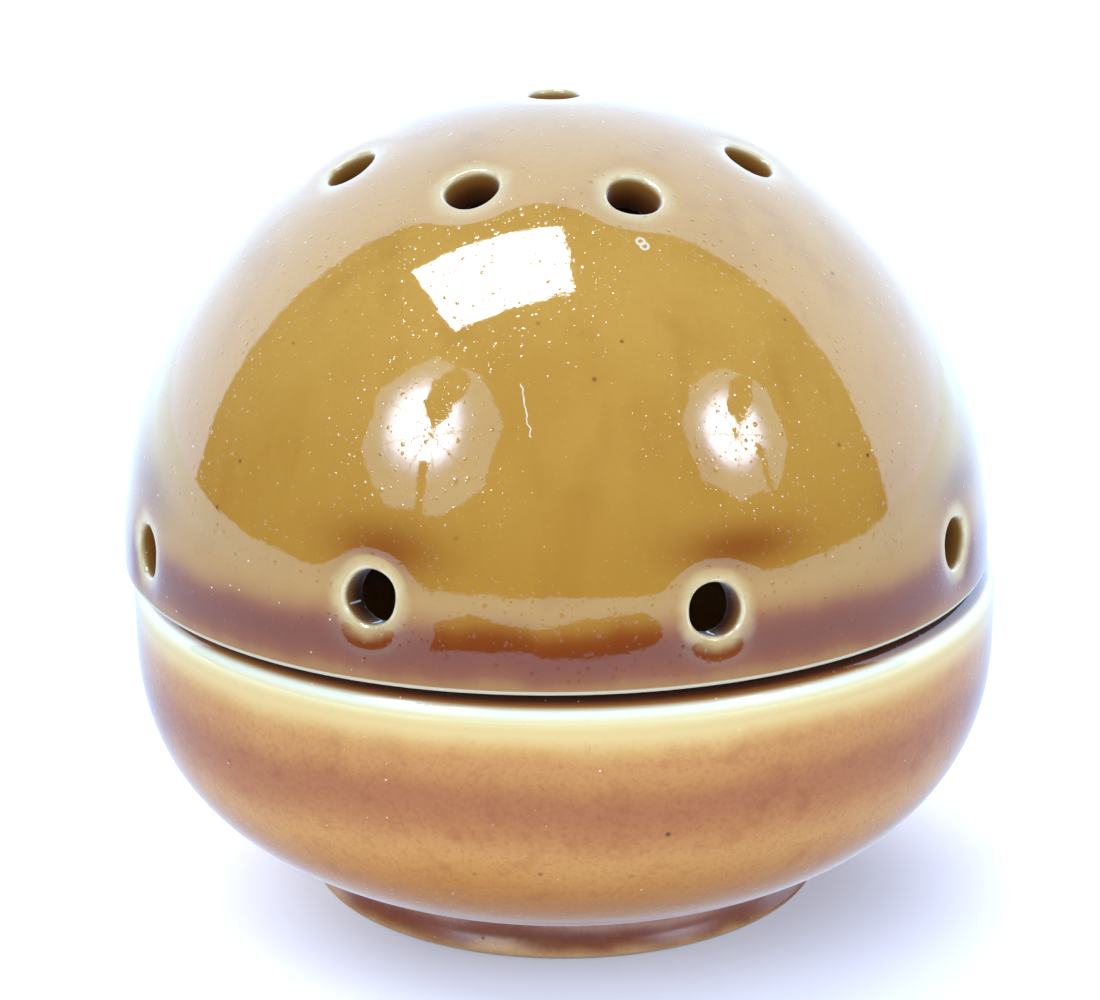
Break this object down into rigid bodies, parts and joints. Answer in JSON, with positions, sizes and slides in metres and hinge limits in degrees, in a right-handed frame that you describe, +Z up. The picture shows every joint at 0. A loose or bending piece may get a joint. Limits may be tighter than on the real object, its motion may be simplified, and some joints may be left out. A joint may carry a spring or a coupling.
{
  "type": "pierced lidded pot",
  "caption": "Ball-shaped glazed ceramic pot: a footed bowl and a domed, pierced lid that lifts off, with a drying sachet inside.",
  "frame": {"origin": "centre of the foot ring's flat underside, on the surface the pot stands on", "axes": "+Z up along the bowl's turning axis, -Y towards the front, +X to the right as seen from the front"},
  "size_m": [0.1009, 0.1, 0.0919],
  "materials": {
    "bowl_glaze": "gloss",
    "lid_glaze": "gloss",
    "sachet_cloth": "matte nonwoven"
  },
  "bodies": {
    "pot_bowl": {"bowl": "bowl_glaze", "desiccant_sachet": "sachet_cloth"},
    "pot_lid": {"lid": "lid_glaze"}
  },
  "joints": [
    {"name": "lid_lift", "type": "slide", "parent": "pot_bowl", "child": "pot_lid", "axis": [0, 0, 1], "range_m": [0, 0.06]}
  ]
}
